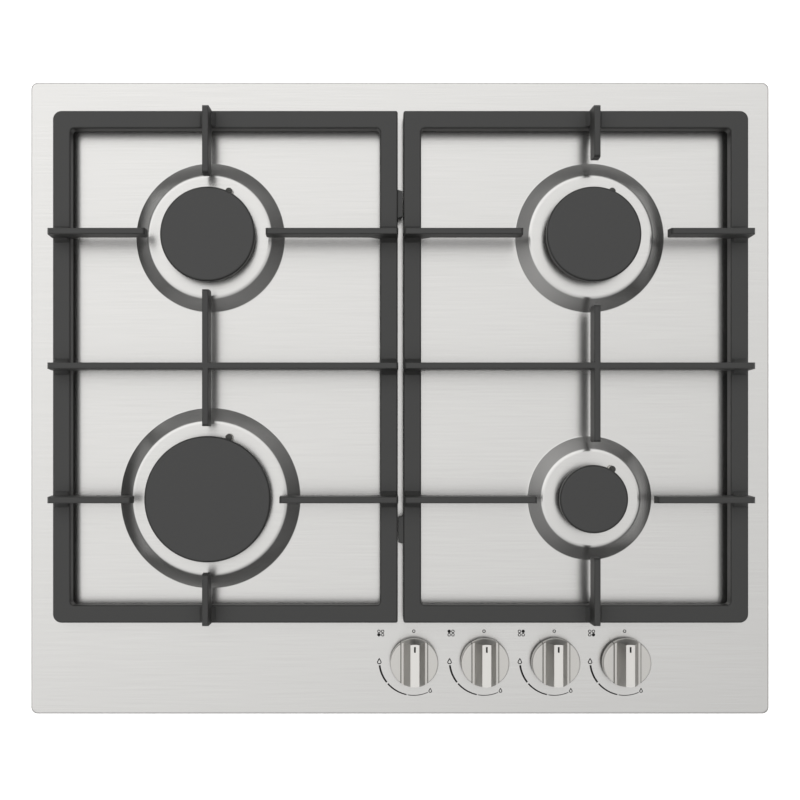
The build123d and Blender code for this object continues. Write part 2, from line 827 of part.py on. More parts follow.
for burner in burners:
    place = burner.place
    outer = cup_radius(burner)
    head = head_radius(burner)
    cup_bottom = cup_floor_level
    cup_inside = cup_floor_level + cup_floor

    with BuildPart() as burner_cup:
        upright(cup_boss_radius, case_sheet, cup_inside, burner.x, burner.y)
        upright(outer, cup_bottom, cup_top, burner.x, burner.y)
        flange_bottom = dome_under - cup_flange
        upright(flange_radius(burner), flange_bottom, dome_under, burner.x, burner.y)
        lying(outlet_boss_radius, socket_reach, along(burner, 0, tube_level), burner.tube_side)
        upright(outer - cup_wall, cup_inside, cup_top, burner.x, burner.y, Mode.SUBTRACT)
        jet_way_bottom = tube_level - jet_way_radius
        upright(jet_way_radius, jet_way_bottom, cup_inside, burner.x, burner.y, Mode.SUBTRACT)
        jet_seat = cup_inside - cup_floor - jet_seat_depth
        jet_hole = jet_radius + running_fit
        upright(jet_hole, jet_seat, cup_inside, burner.x, burner.y, Mode.SUBTRACT)
        gas_way_start = along(burner, 0, tube_level)
        lying(gas_way_radius, socket_reach, gas_way_start, burner.tube_side, Mode.SUBTRACT)
        tube_seat = tube_radius + running_fit
        socket_mouth = along(burner, socket_reach, tube_level)
        inward = burner.tube_side + 180.0
        lying(tube_seat, tube_socket_depth, socket_mouth, inward, Mode.SUBTRACT)
        for window in range(air_window_count):
            turn = air_window_turn + 360.0 * window / air_window_count
            window_level = cup_inside + air_window_height
            with Locations(Location((burner.x, burner.y, window_level), (0, 0, turn))):
                Box(
                    2 * outer,
                    air_window_width,
                    air_window_height,
                    align=(Align.MIN, Align.CENTER, Align.CENTER),
                    mode=Mode.SUBTRACT,
                )
        for screw_x, screw_y in cup_screw_places(burner):
            thread = cup_screw_radius + running_fit
            upright(thread, flange_bottom, dome_under, screw_x, screw_y, Mode.SUBTRACT)
        electrode_x, electrode_y = electrode_place(burner)
        electrode_hole = electrode_radius + running_fit
        upright(
            electrode_hole, flange_bottom, dome_under, electrode_x, electrode_y, Mode.SUBTRACT
        )
    burner_cup.part.label = f"burner_cup_{place}"
    export_step(burner_cup.part, f"parts/burner_cup_{place}.step")

    with BuildPart() as burner_head:
        with BuildSketch(Plane.XZ):
            Polygon(
                (head, head_bottom),
                (head, head_top),
                (head - head_wall, head_top),
                (head - head_wall, head_seat + head_floor),
                (burner.venturi, head_seat + head_floor),
                (burner.venturi, head_seat - venturi_depth),
                (burner.venturi + venturi_wall, head_seat - venturi_depth),
                (burner.venturi + venturi_wall, head_seat),
                (head - head_wall, head_seat),
                (head - head_wall, head_bottom),
                align=None,
            )
        revolve(axis=Axis.Z)
        port_count = round(2 * math.pi * head / flame_port_pitch)
        with Locations((0, 0, head_top)):
            with PolarLocations(head, port_count):
                Box(
                    4 * head_wall,
                    flame_port_width,
                    2 * flame_port_depth,
                    mode=Mode.SUBTRACT,
                )
    placed_head = burner_head.part.moved(Location((burner.x, burner.y, 0)))
    placed_head.label = f"burner_head_{place}"
    export_step(placed_head, f"parts/burner_head_{place}.step")

    with BuildPart() as burner_cap:
        upright(burner.cap, head_top, cap_top, burner.x, burner.y)
        fillet(burner_cap.faces().sort_by(Axis.Z)[-1].edges(), cap_edge_round)
        spigot = head - head_wall - loose_fit
        upright(spigot, head_top - cap_spigot_depth, head_top, burner.x, burner.y)
        hollow = spigot - cap_spigot_wall
        hollow_top = cap_top - cap_top_wall
        upright(
            hollow, head_top - cap_spigot_depth, hollow_top, burner.x, burner.y, Mode.SUBTRACT
        )
    burner_cap.part.label = f"burner_cap_{place}"
    export_step(burner_cap.part, f"parts/burner_cap_{place}.step")

with BuildPart() as jets:
    for burner in burners:
        cup_inside = cup_floor_level + cup_floor
        jet_seat = cup_floor_level - jet_seat_depth
        upright(jet_radius, jet_seat, cup_inside, burner.x, burner.y)
        upright(jet_head_radius, cup_inside, cup_inside + jet_head_height, burner.x, burner.y)
        upright(
            jet_bore_radius, jet_seat, cup_inside + jet_head_height, burner.x, burner.y,
            Mode.SUBTRACT,
        )
jets.part.label = "gas_jets"
export_step(jets.part, "parts/gas_jets.step")

with BuildPart() as cup_screws:
    for burner in burners:
        for screw_x, screw_y in cup_screw_places(burner):
            head_level = dome_top + cup_screw_head_height
            upright(cup_screw_head_radius, dome_top, head_level, screw_x, screw_y)
            upright(cup_screw_radius, dome_top - cup_screw_length, dome_top, screw_x, screw_y)
cup_screws.part.label = "cup_screws"
export_step(cup_screws.part, "parts/cup_screws.step")

flange_under = dome_under - cup_flange
electrode_top = head_top - electrode_gap_under_cap
pin_bottom = flange_under - electrode_collar_height - electrode_tail - electrode_pin_length

with BuildPart() as spark_electrodes:
    for burner in burners:
        x, y = electrode_place(burner)
        tip_bottom = electrode_top - electrode_tip_height
        collar_foot = flange_under - electrode_collar_height
        upright(electrode_pin_radius, pin_bottom, collar_foot, x, y)
        upright(electrode_radius, collar_foot - electrode_tail, tip_bottom, x, y)
        upright(electrode_collar_radius, collar_foot, flange_under, x, y)
        upright(electrode_tip_radius, tip_bottom, electrode_top, x, y)
        with Locations((x, y, electrode_top)):
            for turn in (0.0, 90.0):
                Box(
                    2 * electrode_radius,
                    tip_slot_width,
                    2 * tip_slot_depth,
                    rotation=(0, 0, turn),
                    mode=Mode.SUBTRACT,
                )
spark_electrodes.part.label = "spark_electrodes"
export_step(spark_electrodes.part, "parts/spark_electrodes.step")


# ---------------------------------------------------------------- supply tubes
tap_end_y = outlet_y - tube_socket_depth


def tube_route(burner):
    """Centre line of a supply tube, from its tap's socket to its burner's socket."""
    knob_x = knob_xs[burner.knob]
    tap_end = (knob_x, tap_end_y, tube_level)
    cup_end = along(burner, cup_boss_radius, tube_level)
    if burner.tube_side == 0.0:
        return [tap_end, (knob_x, burner.y, tube_level), cup_end]
    jog_end_y = burner.y - socket_reach - tube_bend
    jog_start_y = jog_end_y - abs(burner.x - knob_x)
    return [
        tap_end,
        (knob_x, jog_start_y, tube_level),
        (burner.x, jog_end_y, tube_level),
        cup_end,
    ]


for burner in burners:
    supply_tube = tube(tube_route(burner), tube_bend, tube_radius, tube_radius - tube_wall)
    supply_tube.label = f"supply_tube_{burner.place}"
    export_step(supply_tube, f"parts/supply_tube_{burner.place}.step")


# ---------------------------------------------------------------- spark generator and wires
generator_front_y = -case_depth / 2 + generator_wall_gap
generator_rear_y = generator_front_y + generator_depth
generator_left_x = generator_x - generator_width / 2
generator_right_x = generator_x + generator_width / 2

with BuildPart() as spark_generator:
    with Locations((generator_x, generator_front_y, case_sheet)):
        Box(
            generator_width,
            generator_depth,
            generator_height,
            align=(Align.CENTER, Align.MIN, Align.MIN),
        )
    fillet(spark_generator.edges().filter_by(Axis.Z), generator_round)
spark_generator.part.label = "spark_generator"
export_step(spark_generator.part, "parts/spark_generator.step")

lead_level = case_sheet + spark_lead_radius + wire_lift
spark_ends = {burner.place: electrode_place(burner) for burner in burners}


def lead_on_floor(place, points):
    """A spark lead that lies on the case floor and then rises to the foot of its electrode."""
    x, y = spark_ends[place]
    floor_run = [(point_x, point_y, lead_level) for point_x, point_y in points]
    ends = [(x, y, lead_level), (x, y, pin_bottom)]
    return tube(floor_run + ends, lead_bend, spark_lead_radius)


lead_start_y = generator_rear_y
left_lane = left_x - cup_boss_radius - lead_cup_gap
right_lane = spark_ends["rear_right"][0] + lead_side_run
cross_lane_front = front_y - lead_front_gap
cross_lane_rear = (front_y + rear_y) / 2
front_left_x = spark_ends["front_left"][0]
left_outlet_x = generator_left_x + lead_outlet_inset
right_outlet_x = generator_right_x - lead_outlet_inset
middle_outlet_x = right_outlet_x - lead_outlet_pitch
spark_leads = [
    lead_on_floor("front_left", [(front_left_x, lead_start_y)]),
    lead_on_floor(
        "rear_left",
        [
            (left_outlet_x, lead_start_y),
            (left_outlet_x, lead_start_y + lead_first_run),
            (left_lane, lead_start_y + lead_first_run + lead_second_run),
            (left_lane, spark_ends["rear_left"][1]),
        ],
    ),
    lead_on_floor(
        "rear_right",
        [
            (middle_outlet_x, lead_start_y),
            (middle_outlet_x, cross_lane_rear),
            (right_lane, cross_lane_rear),
            (right_lane, spark_ends["rear_right"][1]),
        ],
    ),
    lead_on_floor(
        "front_right",
        [
            (right_outlet_x, lead_start_y),
            (right_outlet_x, cross_lane_front),
            (spark_ends["front_right"][0], cross_lane_front),
        ],
    ),
]

with BuildPart() as ignition_leads:
    for lead in spark_leads:
        add(lead)
ignition_leads.part.label = "ignition_leads"
export_step(ignition_leads.part, "parts/ignition_leads.step")

switch_wire_level = bonnet_top + switch_height / 2
wire_runs = []
for left_knob_x, right_knob_x in zip(knob_xs, knob_xs[1:]):
    run_start = (left_knob_x + switch_width / 2, switch_y, switch_wire_level)
    run_end = (right_knob_x - switch_width / 2, switch_y, switch_wire_level)
    wire_runs.append(tube([run_start, run_end], lead_bend, switch_wire_radius))
drop_level = case_sheet + generator_height / 2
wire_runs.append(
    tube(
        [
            (first_knob_x - switch_width / 2, switch_y, switch_wire_level),
            (generator_right_x + wire_drop_reach, switch_y, switch_wire_level),
            (generator_right_x + wire_end_run, switch_y, drop_level),
            (generator_right_x, switch_y, drop_level),
        ],
        lead_bend,
        switch_wire_radius,
    )
)

with BuildPart() as switch_wires:
    for run in wire_runs:
        add(run)
switch_wires.part.label = "switch_wires"
export_step(switch_wires.part, "parts/switch_wires.step")

with BuildPart() as terminal_box:
    with Locations((terminal_x, wall_y, case_sheet)):
        Box(
            terminal_width,
            terminal_depth,
            terminal_height,
            align=(Align.CENTER, Align.MAX, Align.MIN),
        )
    with Locations((terminal_x, wall_y - terminal_wall, case_sheet + terminal_wall)):
        Box(
            terminal_width - 2 * terminal_wall,
            terminal_depth - 2 * terminal_wall,
            terminal_height,
            align=(Align.CENTER, Align.MAX, Align.MIN),
            mode=Mode.SUBTRACT,
        )
    lying(gland_radius, case_sheet + gland_reach, (terminal_x, wall_y, gland_level), 90.0)
    gland_start = (terminal_x, wall_y - terminal_wall, gland_level)
    gland_length = terminal_wall + case_sheet + gland_reach
    lying(cable_hole_radius, gland_length, gland_start, 90.0, Mode.SUBTRACT)
terminal_box.part.label = "terminal_box"
export_step(terminal_box.part, "parts/terminal_box.step")

mains_level = case_sheet + mains_lead_radius + wire_lift
mains_lane = mains_wall_gap - wall_x
mains_start_y = wall_y - terminal_depth + 2 * mains_lead_radius
mains_end_y = generator_rear_y - mains_outlet_inset
mains_points = [
    (terminal_x - terminal_width / 2, mains_start_y, mains_level),
    (mains_lane, mains_start_y, mains_level),
    (mains_lane, mains_end_y, mains_level),
    (generator_left_x, mains_end_y, mains_level),
]
mains_lead = tube(mains_points, mains_lead_bend, mains_lead_radius)
mains_lead.label = "mains_lead"
export_step(mains_lead, "parts/mains_lead.step")


# ---------------------------------------------------------------- grates
def finger(reach):
    """A pan finger along +X, its foot on the frame bar at x = 0 and its tip at the given reach."""
    frame_round = min(finger_gusset, reach / 4)
    with BuildPart() as bar:
        with BuildSketch(Plane.YZ):
            with BuildLine():
                FilletPolyline(
                    (-finger_base_width / 2, frame_bottom),
                    (finger_base_width / 2, frame_bottom),
                    (finger_base_width / 2, finger_bottom),
                    (finger_top_width / 2, finger_top),
                    (-finger_top_width / 2, finger_top),
                    (-finger_base_width / 2, finger_bottom),
                    radius=[0, 0, 0, finger_edge_round, finger_edge_round, 0],
                    close=True,
                )
            make_face()
        extrude(amount=reach)
        with BuildSketch(Plane.XZ):
            Polygon(
                (0, frame_bottom),
                (0, finger_top - finger_tip_bevel),
                (finger_tip_bevel, finger_top),
                (reach - finger_tip_bevel, finger_top),
                (reach, finger_top - finger_tip_bevel),
                (reach, finger_bottom + finger_tip_bevel),
                (reach - finger_tip_bevel, finger_bottom),
                (frame_bar_width + frame_round, finger_bottom),
                (frame_bar_width, finger_bottom - frame_round),
                (frame_bar_width, frame_bottom),
                align=None,
            )
        extrude(amount=finger_base_width, both=True, mode=Mode.INTERSECT)
    return bar.part


def foot_gusset():
    """Ramps up both sides of a finger's foot, on the frame bar that runs across it."""
    rise = finger_bottom - frame_top
    with BuildPart() as ramps:
        with BuildSketch(Plane.YZ.offset(frame_edge_round)):
            Polygon(
                (-finger_base_width / 2 - rise, frame_top - frame_edge_round),
                (finger_base_width / 2 + rise, frame_top - frame_edge_round),
                (finger_base_width / 2 + rise, frame_top),
                (finger_base_width / 2, frame_top + rise),
                (-finger_base_width / 2, frame_top + rise),
                (-finger_base_width / 2 - rise, frame_top),
                align=None,
            )
        extrude(amount=frame_bar_width - 2 * frame_edge_round)
    return ramps.part


def leg_places():
    """The corners of the frame and the middles of its long bars, from the grate's centre."""
    bar_x = (grate_width - frame_bar_width) / 2
    bar_y = (grate_depth - frame_bar_width) / 2
    return [(side_x * bar_x, side_y * bar_y) for side_x in (-1, 1) for side_y in (-1, 0, 1)]


# The casting is drawn about its own centre, as it lies on the left. Its burners are off centre,
# towards the outer side of the cooktop.
burner_line = -burner_off_centre
ring_y = burner_pitch / 2
tight_y = ring_y
wide_y = -ring_y
left_edge = -grate_width / 2
right_edge = grate_width / 2
rear_edge = grate_depth / 2
front_edge = -grate_depth / 2

finger_places = []
for burner_y, side_opening, end_opening in (
    (tight_y, tight_opening_side_radius, tight_opening_radius),
    (wide_y, wide_opening_radius, wide_opening_radius),
):
    from_left = burner_line - side_opening - left_edge
    from_right = right_edge - burner_line - side_opening
    from_end = rear_edge - ring_y - end_opening
    end_y = rear_edge if burner_y > 0 else front_edge
    end_turn = -90.0 if burner_y > 0 else 90.0
    finger_places.append((left_edge, burner_y, 0.0, from_left))
    finger_places.append((right_edge, burner_y, 180.0, from_right))
    finger_places.append((burner_line, end_y, end_turn, from_end))

cross_half = grate_width / 2 + finger_tip_bevel
finger_places.append((left_edge, 0.0, 0.0, cross_half))
finger_places.append((right_edge, 0.0, 180.0, cross_half))
fingers = [finger(reach) for x, y, turn, reach in finger_places]
gusset = foot_gusset()

spine_rear = tight_y - tight_opening_radius
spine_front = wide_y + wide_opening_radius

with BuildPart() as spine:
    with BuildSketch(Plane.XZ):
        with BuildLine():
            FilletPolyline(
                (-finger_base_width / 2, finger_bottom),
                (finger_base_width / 2, finger_bottom),
                (finger_top_width / 2, finger_top),
                (-finger_top_width / 2, finger_top),
                radius=[0, 0, finger_edge_round, finger_edge_round],
                close=True,
            )
        make_face()
    extrude(amount=-spine_rear)
    extrude(spine.faces().sort_by(Axis.Y)[0], amount=-spine_front)
    with BuildSketch(Plane.YZ):
        Polygon(
            (spine_front, finger_bottom + finger_tip_bevel),
            (spine_front, finger_top - finger_tip_bevel),
            (spine_front + finger_tip_bevel, finger_top),
            (spine_rear - finger_tip_bevel, finger_top),
            (spine_rear, finger_top - finger_tip_bevel),
            (spine_rear, finger_bottom + finger_tip_bevel),
            (spine_rear - finger_tip_bevel, finger_bottom),
            (spine_front + finger_tip_bevel, finger_bottom),
            align=None,
        )
    extrude(amount=finger_base_width, both=True, mode=Mode.INTERSECT)

with BuildPart() as grate:
    with BuildSketch(Plane.XY.offset(frame_bottom)) as frame_plan:
        Rectangle(grate_width, grate_depth)
        fillet(frame_plan.vertices().group_by(Axis.X)[0], frame_outer_corner)
        fillet(frame_plan.vertices().group_by(Axis.X)[-1], frame_gap_corner)
        RectangleRounded(
            grate_width - 2 * frame_bar_width,
            grate_depth - 2 * frame_bar_width,
            frame_inner_corner,
            mode=Mode.SUBTRACT,
        )
    extrude(amount=frame_bar_height)
    fillet(grate.faces().sort_by(Axis.Z)[-1].edges(), frame_edge_round)
    spacer_length = spacer_reach + frame_edge_round
    spacer_side = math.degrees(math.atan2(spacer_length, (spacer_root - spacer_tip) / 2))
    with BuildSketch(Plane.XY.offset(frame_bottom + frame_edge_round)):
        with Locations((right_edge - frame_edge_round, spacer_offset)):
            Trapezoid(
                spacer_root,
                spacer_length,
                spacer_side,
                rotation=-90,
                align=(Align.CENTER, Align.MIN),
            )
    extrude(amount=spacer_height)
    for (x, y, turn, reach), bar in zip(finger_places, fingers):
        with Locations(Location((x, y, 0), (0, 0, turn))):
            add(bar)
            add(gusset)
    with Locations((burner_line, 0, 0)):
        add(spine.part)
    with Locations([(x, y, panel_top + foot_height) for x, y in leg_places()]):
        Cone(
            leg_foot_radius,
            leg_top_radius,
            frame_lift - foot_height,
            align=(Align.CENTER, Align.CENTER, Align.MIN),
        )
    for x, y in leg_places():
        peg_hole = foot_peg_radius + running_fit
        peg_top = panel_top + foot_height + foot_peg_length + loose_fit
        upright(peg_hole, panel_top + foot_height, peg_top, x, y, Mode.SUBTRACT)

with BuildPart() as grate_feet:
    for x, y in leg_places():
        upright(leg_foot_radius, panel_top, panel_top + foot_height, x, y)
        peg_top = panel_top + foot_height + foot_peg_length
        upright(foot_peg_radius, panel_top + foot_height, peg_top, x, y)

# The right grate is the same casting turned half round.
for side, turn in (("left", 0.0), ("right", 180.0)):
    centre_x = -grate_centre_x if side == "left" else grate_centre_x
    place = Location((centre_x, grate_centre_y, 0), (0, 0, turn))
    placed_grate = grate.part.moved(place)
    placed_grate.label = f"grate_{side}"
    export_step(placed_grate, f"parts/grate_{side}.step")
    placed_feet = grate_feet.part.moved(place)
    placed_feet.label = f"grate_feet_{side}"
    export_step(placed_feet, f"parts/grate_feet_{side}.step")
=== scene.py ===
import math

import bmesh
import bpy
from mathutils import Matrix, Vector


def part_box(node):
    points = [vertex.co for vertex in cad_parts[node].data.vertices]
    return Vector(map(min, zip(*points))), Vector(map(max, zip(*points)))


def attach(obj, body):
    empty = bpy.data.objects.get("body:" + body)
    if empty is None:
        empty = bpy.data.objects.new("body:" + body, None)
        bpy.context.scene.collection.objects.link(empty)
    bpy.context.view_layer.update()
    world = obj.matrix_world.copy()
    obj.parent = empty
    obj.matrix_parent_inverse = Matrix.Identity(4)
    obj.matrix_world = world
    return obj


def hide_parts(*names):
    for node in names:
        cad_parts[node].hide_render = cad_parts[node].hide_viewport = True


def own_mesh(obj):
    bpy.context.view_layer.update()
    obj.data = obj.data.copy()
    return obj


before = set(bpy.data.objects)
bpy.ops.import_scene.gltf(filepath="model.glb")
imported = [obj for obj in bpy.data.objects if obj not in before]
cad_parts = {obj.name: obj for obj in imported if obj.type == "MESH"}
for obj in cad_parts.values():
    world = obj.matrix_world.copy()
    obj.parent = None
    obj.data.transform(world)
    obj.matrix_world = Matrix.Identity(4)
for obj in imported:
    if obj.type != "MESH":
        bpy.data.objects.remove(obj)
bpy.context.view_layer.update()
mm = 0.001


# ---------------------------------------------------------------- camera
# The cooktop is seen straight down from 1.1 m over its panel. The lens stands a little left of and
# before the panel's middle, and is shifted so that the middle is in the middle of the picture.
camera_place = (-0.030, -0.030, 1.154)
camera_shift = (0.0465, 0.0442)
camera_lens = 61.35

camera_data = bpy.data.cameras.new("camera")
camera_data.lens = camera_lens
camera = bpy.data.objects.new("camera", camera_data)
camera.location = camera_place
camera_data.shift_x, camera_data.shift_y = camera_shift
bpy.context.scene.collection.objects.link(camera)
bpy.context.scene.camera = camera
bpy.context.scene.view_settings.view_transform = "Standard"


# ---------------------------------------------------------------- light and floor
# A white tent is bright overhead, most of all to the rear left, has a dark band below that, and a
# low light wall. Flats of bare steel show its top and come out light, and slopes show its band. The
# floor is white paper, and stays white in the picture.
tent_top = 1.55
tent_band = 0.12
tent_low_wall = 0.9
tent_low_wall_sines = (0.22, 0.34)
tent_edge_sine = 0.80
tent_foot_sine = 0.48
tent_lean = 0.68
tent_lean_way = (-0.52, 0.85, 0)
tent_light_level = 1.25
key_power = 6.0
key_size = 0.9
key_place = (-0.9, 1.0, 1.5)
floor_size = 12.0
floor_drop = 0.4 * mm
floor_glow = 0.75
floor_white = "f4f4f4"
paper_roughness = 0.8
# The curve that turns an sRGB level into a linear one.
srgb_foot = 0.04045
srgb_foot_slope = 12.92
srgb_offset = 0.055
srgb_power = 2.4


def linear_level(level):
    """The linear level of an sRGB level between 0 and 1."""
    if level <= srgb_foot:
        return level / srgb_foot_slope
    return ((level + srgb_offset) / (1 + srgb_offset)) ** srgb_power


def linear(hex_colour):
    """The linear RGBA of an sRGB hex colour."""
    return (*(linear_level(int(hex_colour[i : i + 2], 16) / 255) for i in (0, 2, 4)), 1.0)


def node(tree, kind, inputs=None, **settings):
    """Adds a shader node. An input is a plain value, or another node's output to link to."""
    made = tree.nodes.new("ShaderNode" + kind)
    for name, value in settings.items():
        setattr(made, name, value)
    for name, value in (inputs or {}).items():
        if isinstance(value, bpy.types.NodeSocket):
            tree.links.new(value, made.inputs[name])
        else:
            made.inputs[name].default_value = value
    return made


def calc(tree, operation, *values):
    """The output of a Math node over plain values or other outputs."""
    return node(tree, "Math", dict(enumerate(values)), operation=operation).outputs[0]


def ramp(tree, level, span, ends):
    """Goes softly from one end value to the other while a level crosses a span."""
    inputs = {"Value": level, "From Min": span[0], "From Max": span[1]}
    inputs |= {"To Min": ends[0], "To Max": ends[1]}
    return node(tree, "MapRange", inputs, interpolation_type="SMOOTHSTEP").outputs["Result"]


world = bpy.data.worlds.new("studio_tent")
world.use_nodes = True
bpy.context.scene.world = world
tree = world.node_tree
tree.nodes.clear()
way = node(tree, "TexCoord").outputs["Generated"]
height = node(tree, "SeparateXYZ", {0: way}).outputs["Z"]
overhead = ramp(tree, height, (tent_foot_sine, tent_edge_sine), (tent_band, tent_top))
lean = node(tree, "VectorMath", {0: way, 1: tent_lean_way}, operation="DOT_PRODUCT")
lean = calc(tree, "MULTIPLY_ADD", lean.outputs["Value"], tent_lean, 1.0)
wall = ramp(tree, height, tent_low_wall_sines, (tent_low_wall, 0.0))
tent = calc(tree, "ADD", calc(tree, "MULTIPLY", overhead, lean), wall)
seen = node(tree, "LightPath").outputs["Is Camera Ray"]
strength = node(tree, "MapRange", {"Value": seen, "To Min": tent, "To Max": tent_light_level})
background = node(tree, "Background", {"Strength": strength.outputs["Result"]})
node(tree, "OutputWorld", {"Surface": background.outputs[0]})

key_data = bpy.data.lights.new("key_light", "AREA")
key_data.energy = key_power
key_data.size = key_size
key = bpy.data.objects.new("key_light", key_data)
key.location = key_place
key.rotation_mode = "QUATERNION"
key.rotation_quaternion = (-Vector(key_place)).to_track_quat("-Z", "Y")
key.visible_glossy = False
bpy.context.scene.collection.objects.link(key)

floor_mesh = bpy.data.meshes.new("floor")
bm = bmesh.new()
bmesh.ops.create_grid(bm, x_segments=1, y_segments=1, size=floor_size / 2)
bmesh.ops.translate(bm, vec=(0, 0, -floor_drop), verts=bm.verts)
bm.to_mesh(floor_mesh)
bm.free()
floor = bpy.data.objects.new("floor", floor_mesh)
bpy.context.scene.collection.objects.link(floor)

# Matt white paper. It glows for the camera and in reflections only, so it lights nothing itself.
paper = bpy.data.materials.new("matt_white_backdrop_paper")
paper.use_nodes = True
tree = paper.node_tree
tree.nodes.clear()
matt = node(tree, "BsdfDiffuse", {"Color": linear(floor_white), "Roughness": paper_roughness})
path = node(tree, "LightPath").outputs
shown = calc(tree, "ADD", path["Is Camera Ray"], path["Is Glossy Ray"])
shown = calc(tree, "ADD", shown, path["Is Transmission Ray"])
lit = node(tree, "Emission", {"Strength": calc(tree, "MULTIPLY", shown, floor_glow)})
both = node(tree, "AddShader", {0: matt.outputs[0], 1: lit.outputs[0]})
node(tree, "OutputMaterial", {"Surface": both.outputs[0]})
floor_mesh.materials.append(paper)


# ---------------------------------------------------------------- top panel
# One sheet of stainless steel 0.8 mm thick, brushed from side to side before it was pressed. Its
# rim is turned down over a foam seal, and four domes are pressed up round the burners.
sheet = 0.8 * mm
panel_corner = 5.5 * mm
rim_round = 1.6 * mm
dome_slope = 11.3 * mm
shoulder_round = 6.0 * mm
dome_foot_round = 1.5 * mm
dome_steps = 128
arc_steps = 8
rim_steps = 4
circular_profile = 0.5
spindle_hole = 4.8 * mm
spindle_hole_steps = 32
cup_inset = 14.0 * mm
cup_clearance = 0.4 * mm
post_hole = 3.15 * mm
post_hole_steps = 24
post_side = 16.0 * mm
post_from_cap = 1.4 * mm
crease_angle = math.radians(30)
level_tolerance = 0.01 * mm
panel_weld = 0.005 * mm
flat_normal = 0.99

burner_places = ["front_left", "rear_left", "rear_right", "front_right"]
dome_radii = dict(zip(burner_places, (72.6 * mm, 60.0 * mm, 60.0 * mm, 50.0 * mm)))
panel_low, panel_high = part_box("top_panel")
panel_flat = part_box("grate_feet_left")[0].z
cap_boxes = {place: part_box("burner_cap_" + place) for place in burner_places}
burner_centres = {place: (low + high) / 2 for place, (low, high) in cap_boxes.items()}
knob_boxes = [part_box("knob_" + place) for place in burner_places]
knob_xs = [(low.x + high.x) / 2 for low, high in knob_boxes]
knob_y = (knob_boxes[0][0].y + knob_boxes[0][1].y) / 2


def piece(name, bm, material, body, replaced=()):
    """Makes a bmesh an object that rides on a body, smooth but for its sharp edges."""
    bm.normal_update()
    for face in bm.faces:
        face.smooth = True
    for edge in bm.edges:
        edge.smooth = len(edge.link_faces) == 2 and edge.calc_face_angle(0) < crease_angle
    mesh = bpy.data.meshes.new(name)
    bm.to_mesh(mesh)
    bm.free()
    mesh.materials.append(material)
    made = bpy.data.objects.new(name, mesh)
    bpy.context.scene.collection.objects.link(made)
    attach(made, body)
    if replaced:
        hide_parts(*replaced)
    return made


def thickened(made, name, thickness):
    """Gives a surface its thickness, on the side that its faces turn away from."""
    modifier = made.modifiers.new(name, "SOLIDIFY")
    modifier.thickness = thickness
    modifier.offset = -1.0
    return modifier


def arc(radius, start, end, centre):
    """Points (r, z) round a centre, from one angle to another in radians."""
    turns = [start + (end - start) * step / arc_steps for step in range(arc_steps + 1)]
    return [(centre[0] + radius * math.cos(t), centre[1] + radius * math.sin(t)) for t in turns]


def turned(bm, profile, centre):
    """Spins a profile of (r, z) points round the upright axis through a centre."""
    rail = [bm.verts.new((centre.x + r, centre.y, z)) for r, z in profile]
    edges = [bm.edges.new(pair) for pair in zip(rail, rail[1:])]
    bmesh.ops.spin(
        bm, geom=rail + edges, cent=centre, axis=(0, 0, 1), angle=math.tau, steps=dome_steps,
        use_merge=True,
    )


def loop_at(bm, centre, radius, steps):
    """A circle of edges, for the rim of a hole."""
    made = bmesh.ops.create_circle(
        bm, segments=steps, radius=radius, matrix=Matrix.Translation(centre)
    )
    return {edge for vert in made["verts"] for edge in vert.link_edges}


def edges_at(bm, level):
    """Every edge that lies at a level."""
    return [e for e in bm.edges if all(abs(v.co.z - level) < level_tolerance for v in e.verts)]


def open_edges(bm, level):
    """Every edge at a level that has a face on one side or on none."""
    return [edge for edge in edges_at(bm, level) if len(edge.link_faces) < 2]


def rounded(bm, edges, offset, steps):
    """Rounds edges with a circular profile."""
    bmesh.ops.bevel(
        bm, geom=edges, offset=offset, segments=steps, profile=circular_profile, affect="EDGES",
        material=-1,
    )


# The rim is the side of a box without lids, with its corners and its top edge rounded.
outline = (panel_high.x - panel_low.x, panel_high.y - panel_low.y, 1)
bm = bmesh.new()
bmesh.ops.create_grid(bm, x_segments=1, y_segments=1, size=1 / 2)
bmesh.ops.scale(bm, vec=outline, verts=bm.verts)
bmesh.ops.translate(bm, vec=(0, 0, panel_flat), verts=bm.verts)
rim = bmesh.ops.extrude_face_region(bm, geom=bm.faces[:])["geom"]
rim_verts = [part for part in rim if isinstance(part, bmesh.types.BMVert)]
bmesh.ops.translate(bm, vec=(0, 0, panel_low.z - panel_flat), verts=rim_verts)
bmesh.ops.recalc_face_normals(bm, faces=bm.faces)
upright_edges = [e for e in bm.edges if abs(e.verts[0].co.z - e.verts[1].co.z) > sheet]
rounded(bm, upright_edges, panel_corner, arc_steps)
rounded(bm, edges_at(bm, panel_flat), rim_round, rim_steps)
lids = [f for f in bm.faces if abs(f.normal.z) > flat_normal]
bmesh.ops.delete(bm, geom=lids, context="FACES_ONLY")

# Each dome's slope runs between a round at its foot and a wider one at its shoulder.
rise = panel_high.z - panel_flat
slope = math.atan2(rise, dome_slope)
foot_set = dome_foot_round * math.tan(slope / 2)
shoulder_set = shoulder_round * math.tan(slope / 2)
down, up = -math.pi / 2, math.pi / 2
for place in burner_places:
    outer = dome_radii[place]
    foot_centre = (outer + foot_set, panel_flat + dome_foot_round)
    shoulder_centre = (outer - dome_slope - shoulder_set, panel_high.z - shoulder_round)
    profile = arc(dome_foot_round, down, down - slope, foot_centre)
    profile += arc(shoulder_round, up - slope, up, shoulder_centre)
    turned(bm, profile, burner_centres[place])
bmesh.ops.remove_doubles(bm, verts=bm.verts, dist=panel_weld)

